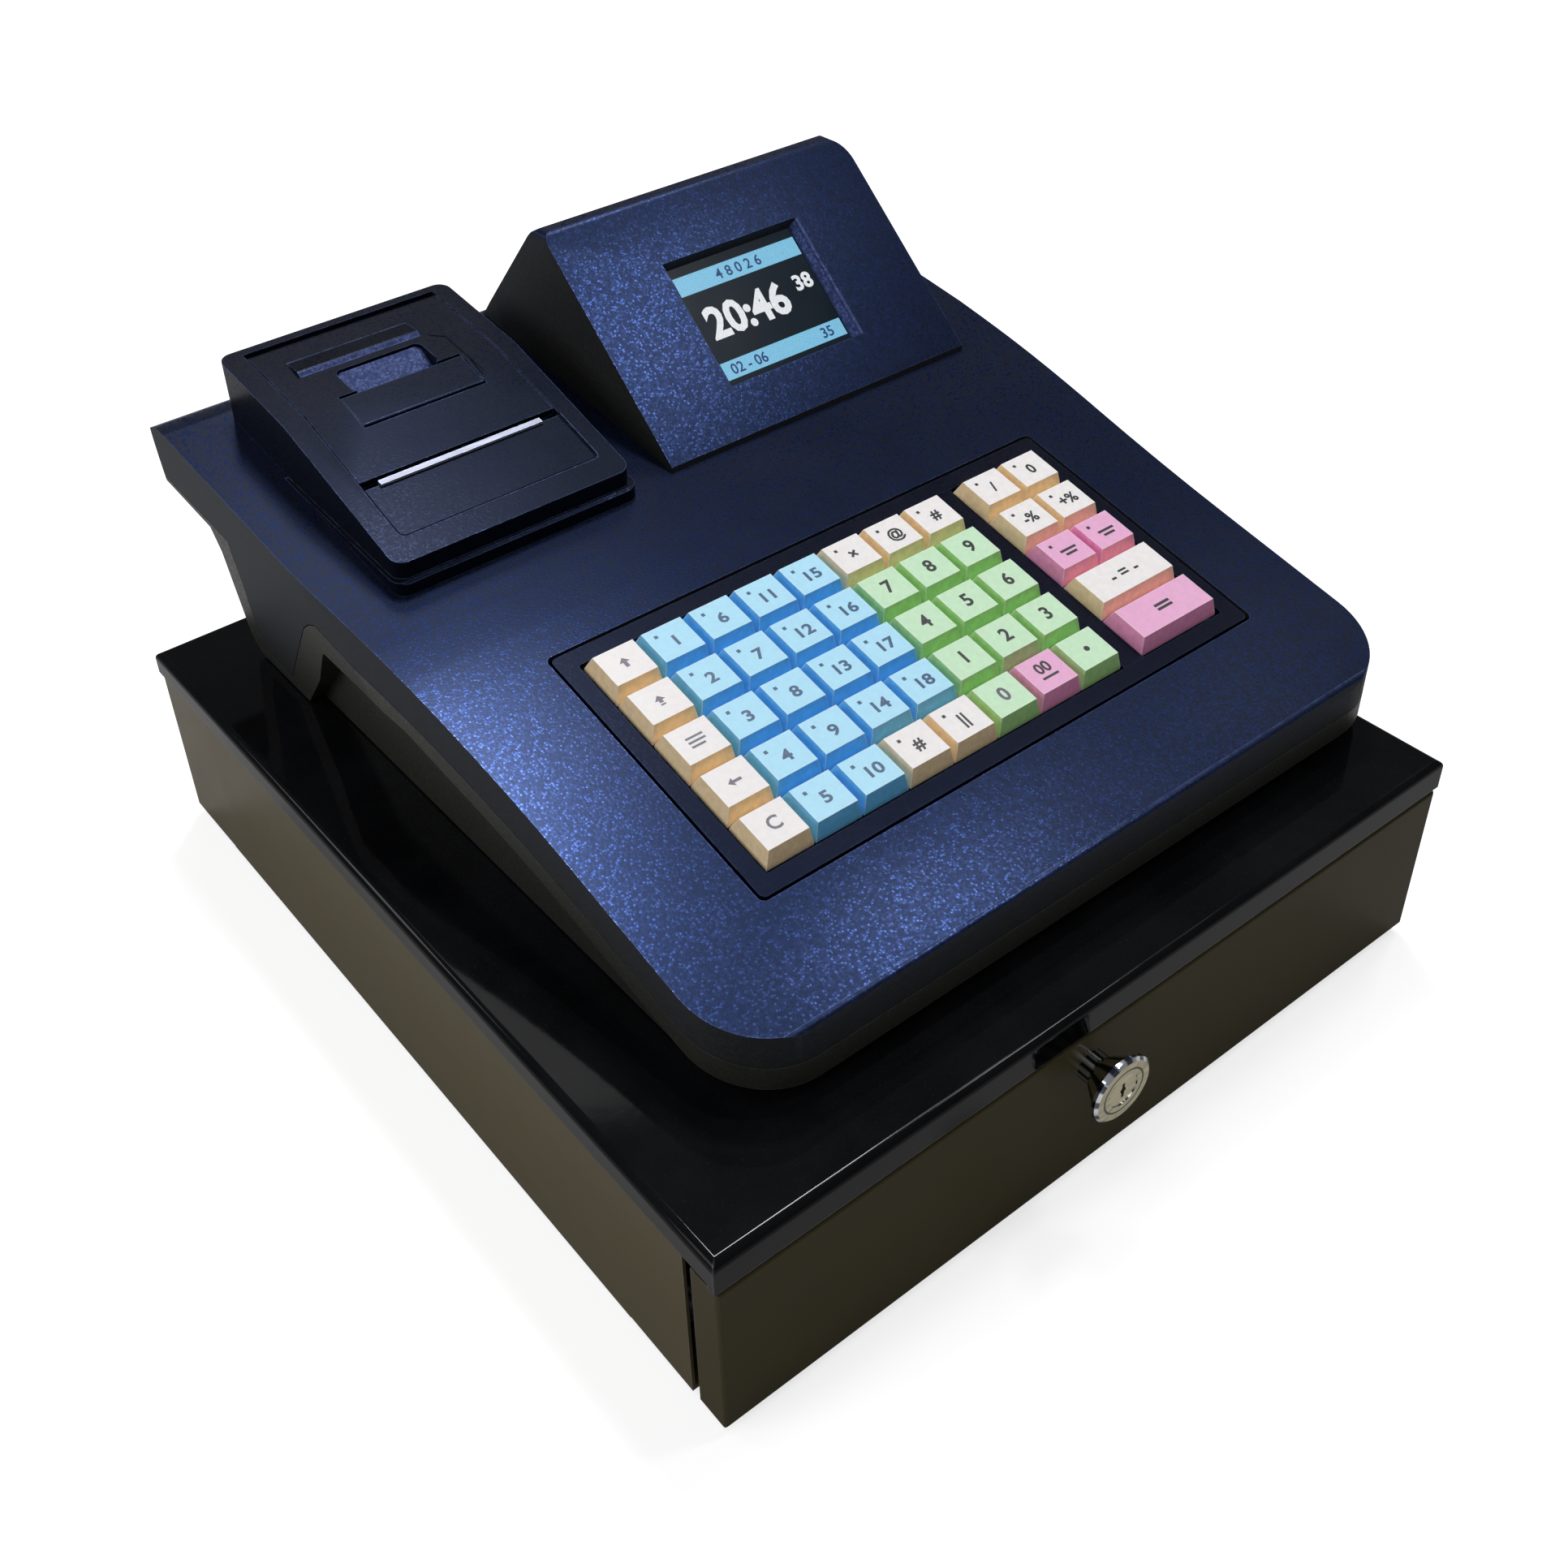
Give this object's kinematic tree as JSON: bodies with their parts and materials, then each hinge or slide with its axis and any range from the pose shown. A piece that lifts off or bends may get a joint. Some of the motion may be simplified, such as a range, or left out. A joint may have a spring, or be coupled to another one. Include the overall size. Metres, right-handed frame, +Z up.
{
  "type": "ticket register",
  "caption": "Counter register with sloping key deck, receipt printer and raised display hood, standing on a steel cash drawer with lock, latch and cash tray.",
  "frame": {"origin": "centre of the cabinet's underside; the rubber feet reach 3.5 mm below it", "axes": "+X to the right seen from the operator, +Y away from the operator, +Z up; the drawer opens towards -Y"},
  "size_m": [0.3308, 0.385, 0.2186],
  "materials": {
    "black_steel": "smooth gloss black enamel",
    "brass": "machined brass",
    "chrome": "polished chrome plating",
    "circuit_board": "green solder mask",
    "clip_plastic": "matte black",
    "deck_plastic": "dark navy, sparked texture",
    "gear_plastic": "natural acetal",
    "key_blue": "clear cap over light blue",
    "key_cream": "clear cap over cream",
    "key_green": "clear cap over light green",
    "key_pink": "clear cap over pink",
    "lock_plug": "polished nickel plating",
    "motor_can": "plated motor can",
    "paper": "white thermal paper",
    "plate_plastic": "matte black",
    "platen_rubber": "ground rubber",
    "printer_plastic": "satin black",
    "roller_plastic": "white acetal",
    "rubber": "matte black rubber",
    "screen": "backlit display",
    "skirt_plastic": "matte charcoal, lightly sparked",
    "socket_plastic": "satin black",
    "tear_bar": "bright steel",
    "thermal_head": "bare aluminium heat sink",
    "tray_plastic": "fine textured black",
    "zinc_steel": "zinc plated sheet steel"
  },
  "bodies": {
    "register": {"drawer_cover": "black_steel", "drawer_shell": "black_steel", "runner_rails": "zinc_steel", "drawer_feet": "rubber", "latch_solenoid": "zinc_steel", "ejector_spring": "zinc_steel", "lower_shell": "skirt_plastic", "upper_shell": "deck_plastic", "head_feet": "rubber", "display_hood": "deck_plastic", "display_module": "screen", "printer_housing": "printer_plastic", "printer_frame": "zinc_steel", "thermal_head": "thermal_head", "printer_motor": "motor_can", "tear_bar": "tear_bar", "main_board": "circuit_board", "power_inlet": "socket_plastic", "keyboard_frame": "deck_plastic", "key_plate": "plate_plastic", "key_switches": "circuit_board"},
    "drawer": {"drawer_front": "black_steel", "till_box": "zinc_steel", "cash_tray": "tray_plastic", "coin_tray": "tray_plastic", "lock_barrel": "chrome"},
    "front_rollers": {"front_rollers": "roller_plastic"},
    "rear_rollers": {"rear_rollers": "roller_plastic"},
    "latch_plunger": {"latch_plunger": "zinc_steel"},
    "latch_hook": {"latch_hook": "zinc_steel"},
    "lock_plug": {"lock_plug": "lock_plug"},
    "bill_clip_1": {"bill_clip_1": "clip_plastic"},
    "bill_clip_2": {"bill_clip_2": "clip_plastic"},
    "bill_clip_3": {"bill_clip_3": "clip_plastic"},
    "bill_clip_4": {"bill_clip_4": "clip_plastic"},
    "printer_hatch": {"printer_hatch": "deck_plastic"},
    "hatch_latch": {"hatch_latch": "deck_plastic"},
    "platen_roller": {"platen_roller": "platen_rubber"},
    "idler_gear": {"idler_gear": "gear_plastic"},
    "motor_pinion": {"motor_pinion": "brass"},
    "paper_roll": {"paper_roll": "paper"},
    "key_0": {"key_0": "key_green"},
    "key_1": {"key_1": "key_green"},
    "key_2": {"key_2": "key_green"},
    "key_3": {"key_3": "key_green"},
    "key_4": {"key_4": "key_green"},
    "key_5": {"key_5": "key_green"},
    "key_6": {"key_6": "key_green"},
    "key_7": {"key_7": "key_green"},
    "key_8": {"key_8": "key_green"},
    "key_9": {"key_9": "key_green"},
    "key_00": {"key_00": "key_pink"},
    "key_point": {"key_point": "key_green"},
    "key_subtotal": {"key_subtotal": "key_cream"},
    "key_total": {"key_total": "key_pink"},
    "keys_side": {"keys_side": "key_cream"},
    "keys_department": {"keys_department": "key_blue"},
    "keys_function": {"keys_function": "key_cream"},
    "keys_payment": {"keys_payment": "key_pink"}
  },
  "joints": [
    {"name": "drawer_slide", "type": "slide", "parent": "register", "child": "drawer", "axis": [0, -1, 0], "range_m": [0, 0.24]},
    {"name": "front_rollers_turn", "type": "hinge", "parent": "register", "child": "front_rollers", "pos_m": [0, -0.15, 0.0225], "axis": [1, 0, 0], "continuous": true},
    {"name": "rear_rollers_turn", "type": "hinge", "parent": "drawer", "child": "rear_rollers", "pos_m": [0, 0.15, 0.0225], "axis": [1, 0, 0], "continuous": true},
    {"name": "latch_plunger_slide", "type": "slide", "parent": "register", "child": "latch_plunger", "axis": [1, 0, 0], "range_m": [0, 0.00313], "stiffness_N_per_m": 400},
    {"name": "latch_hook_turn", "type": "hinge", "parent": "register", "child": "latch_hook", "pos_m": [0.074, 0.158, 0.01], "axis": [0, 0, -1], "range_deg": [0, 20]},
    {"name": "lock_turn", "type": "hinge", "parent": "drawer", "child": "lock_plug", "pos_m": [-0.0135, -0.176, 0.0495], "axis": [0, -1, 0], "range_deg": [0, 90]},
    {"name": "bill_clip_1_lift", "type": "hinge", "parent": "drawer", "child": "bill_clip_1", "pos_m": [-0.10406, 0.1155, 0.0325], "axis": [-1, 0, 0], "range_deg": [0, 85], "stiffness_Nm_per_rad": 0.04, "springref_deg": -17.19},
    {"name": "bill_clip_2_lift", "type": "hinge", "parent": "drawer", "child": "bill_clip_2", "pos_m": [-0.03469, 0.1155, 0.0325], "axis": [-1, 0, 0], "range_deg": [0, 85], "stiffness_Nm_per_rad": 0.04, "springref_deg": -17.19},
    {"name": "bill_clip_3_lift", "type": "hinge", "parent": "drawer", "child": "bill_clip_3", "pos_m": [0.03469, 0.1155, 0.0325], "axis": [-1, 0, 0], "range_deg": [0, 85], "stiffness_Nm_per_rad": 0.04, "springref_deg": -17.19},
    {"name": "bill_clip_4_lift", "type": "hinge", "parent": "drawer", "child": "bill_clip_4", "pos_m": [0.10406, 0.1155, 0.0325], "axis": [-1, 0, 0], "range_deg": [0, 85], "stiffness_Nm_per_rad": 0.04, "springref_deg": -17.19},
    {"name": "hatch_open", "type": "hinge", "parent": "register", "child": "printer_hatch", "pos_m": [-0.06125, 0.1644, 0.18317], "axis": [-1, 0, 0], "range_deg": [0, 85]},
    {"name": "hatch_latch_lift", "type": "hinge", "parent": "printer_hatch", "child": "hatch_latch", "pos_m": [-0.06125, 0.112, 0.17446], "axis": [1, 0, 0], "range_deg": [0, 25], "stiffness_Nm_per_rad": 0.05},
    {"name": "paper_roll_turn", "type": "hinge", "parent": "register", "child": "paper_roll", "pos_m": [-0.06125, 0.134, 0.14899], "axis": [1, 0, 0], "continuous": true},
    {"name": "idler_gear_turn", "type": "hinge", "parent": "register", "child": "idler_gear", "pos_m": [-0.06125, 0.092, 0.14629], "axis": [1, 0, 0], "continuous": true},
    {"name": "motor_pinion_turn", "type": "hinge", "parent": "register", "child": "motor_pinion", "pos_m": [-0.06125, 0.08118, 0.13548], "axis": [1, 0, 0], "continuous": true},
    {"name": "platen_turn", "type": "hinge", "parent": "printer_hatch", "child": "platen_roller", "pos_m": [-0.06125, 0.092, 0.16249], "axis": [1, 0, 0], "continuous": true},
    {"name": "key_0_press", "type": "slide", "parent": "register", "child": "key_0", "axis": [0, 0.2267, -0.974], "range_m": [0, 0.003], "stiffness_N_per_m": 300, "springref_m": -0.001},
    {"name": "key_1_press", "type": "slide", "parent": "register", "child": "key_1", "axis": [0, 0.2267, -0.974], "range_m": [0, 0.003], "stiffness_N_per_m": 300, "springref_m": -0.001},
    {"name": "key_2_press", "type": "slide", "parent": "register", "child": "key_2", "axis": [0, 0.2267, -0.974], "range_m": [0, 0.003], "stiffness_N_per_m": 300, "springref_m": -0.001},
    {"name": "key_3_press", "type": "slide", "parent": "register", "child": "key_3", "axis": [0, 0.2267, -0.974], "range_m": [0, 0.003], "stiffness_N_per_m": 300, "springref_m": -0.001},
    {"name": "key_4_press", "type": "slide", "parent": "register", "child": "key_4", "axis": [0, 0.2267, -0.974], "range_m": [0, 0.003], "stiffness_N_per_m": 300, "springref_m": -0.001},
    {"name": "key_5_press", "type": "slide", "parent": "register", "child": "key_5", "axis": [0, 0.2267, -0.974], "range_m": [0, 0.003], "stiffness_N_per_m": 300, "springref_m": -0.001},
    {"name": "key_6_press", "type": "slide", "parent": "register", "child": "key_6", "axis": [0, 0.2267, -0.974], "range_m": [0, 0.003], "stiffness_N_per_m": 300, "springref_m": -0.001},
    {"name": "key_7_press", "type": "slide", "parent": "register", "child": "key_7", "axis": [0, 0.2267, -0.974], "range_m": [0, 0.003], "stiffness_N_per_m": 300, "springref_m": -0.001},
    {"name": "key_8_press", "type": "slide", "parent": "register", "child": "key_8", "axis": [0, 0.2267, -0.974], "range_m": [0, 0.003], "stiffness_N_per_m": 300, "springref_m": -0.001},
    {"name": "key_9_press", "type": "slide", "parent": "register", "child": "key_9", "axis": [0, 0.2267, -0.974], "range_m": [0, 0.003], "stiffness_N_per_m": 300, "springref_m": -0.001},
    {"name": "key_00_press", "type": "slide", "parent": "register", "child": "key_00", "axis": [0, 0.2267, -0.974], "range_m": [0, 0.003], "stiffness_N_per_m": 300, "springref_m": -0.001},
    {"name": "key_point_press", "type": "slide", "parent": "register", "child": "key_point", "axis": [0, 0.2267, -0.974], "range_m": [0, 0.003], "stiffness_N_per_m": 300, "springref_m": -0.001},
    {"name": "key_subtotal_press", "type": "slide", "parent": "register", "child": "key_subtotal", "axis": [0, 0.2267, -0.974], "range_m": [0, 0.003], "stiffness_N_per_m": 300, "springref_m": -0.001},
    {"name": "key_total_press", "type": "slide", "parent": "register", "child": "key_total", "axis": [0, 0.2267, -0.974], "range_m": [0, 0.003], "stiffness_N_per_m": 300, "springref_m": -0.001},
    {"name": "keys_side_press", "type": "slide", "parent": "register", "child": "keys_side", "axis": [0, 0.2267, -0.974], "range_m": [0, 0.003], "stiffness_N_per_m": 300, "springref_m": -0.001},
    {"name": "keys_department_press", "type": "slide", "parent": "register", "child": "keys_department", "axis": [0, 0.2267, -0.974], "range_m": [0, 0.003], "stiffness_N_per_m": 300, "springref_m": -0.001},
    {"name": "keys_function_press", "type": "slide", "parent": "register", "child": "keys_function", "axis": [0, 0.2267, -0.974], "range_m": [0, 0.003], "stiffness_N_per_m": 300, "springref_m": -0.001},
    {"name": "keys_payment_press", "type": "slide", "parent": "register", "child": "keys_payment", "axis": [0, 0.2267, -0.974], "range_m": [0, 0.003], "stiffness_N_per_m": 300, "springref_m": -0.001}
  ],
  "couplings": [
    {"joint": "front_rollers_turn", "follows": "drawer_slide", "rad_per_m": 166.67},
    {"joint": "rear_rollers_turn", "follows": "drawer_slide", "rad_per_m": 166.67},
    {"joint": "latch_hook_turn", "follows": "latch_plunger_slide", "rad_per_m": 111.67},
    {"joint": "platen_turn", "follows": "paper_roll_turn", "ratio": 4.1667},
    {"joint": "idler_gear_turn", "follows": "paper_roll_turn", "ratio": -2.0833},
    {"joint": "motor_pinion_turn", "follows": "paper_roll_turn", "ratio": 5}
  ]
}
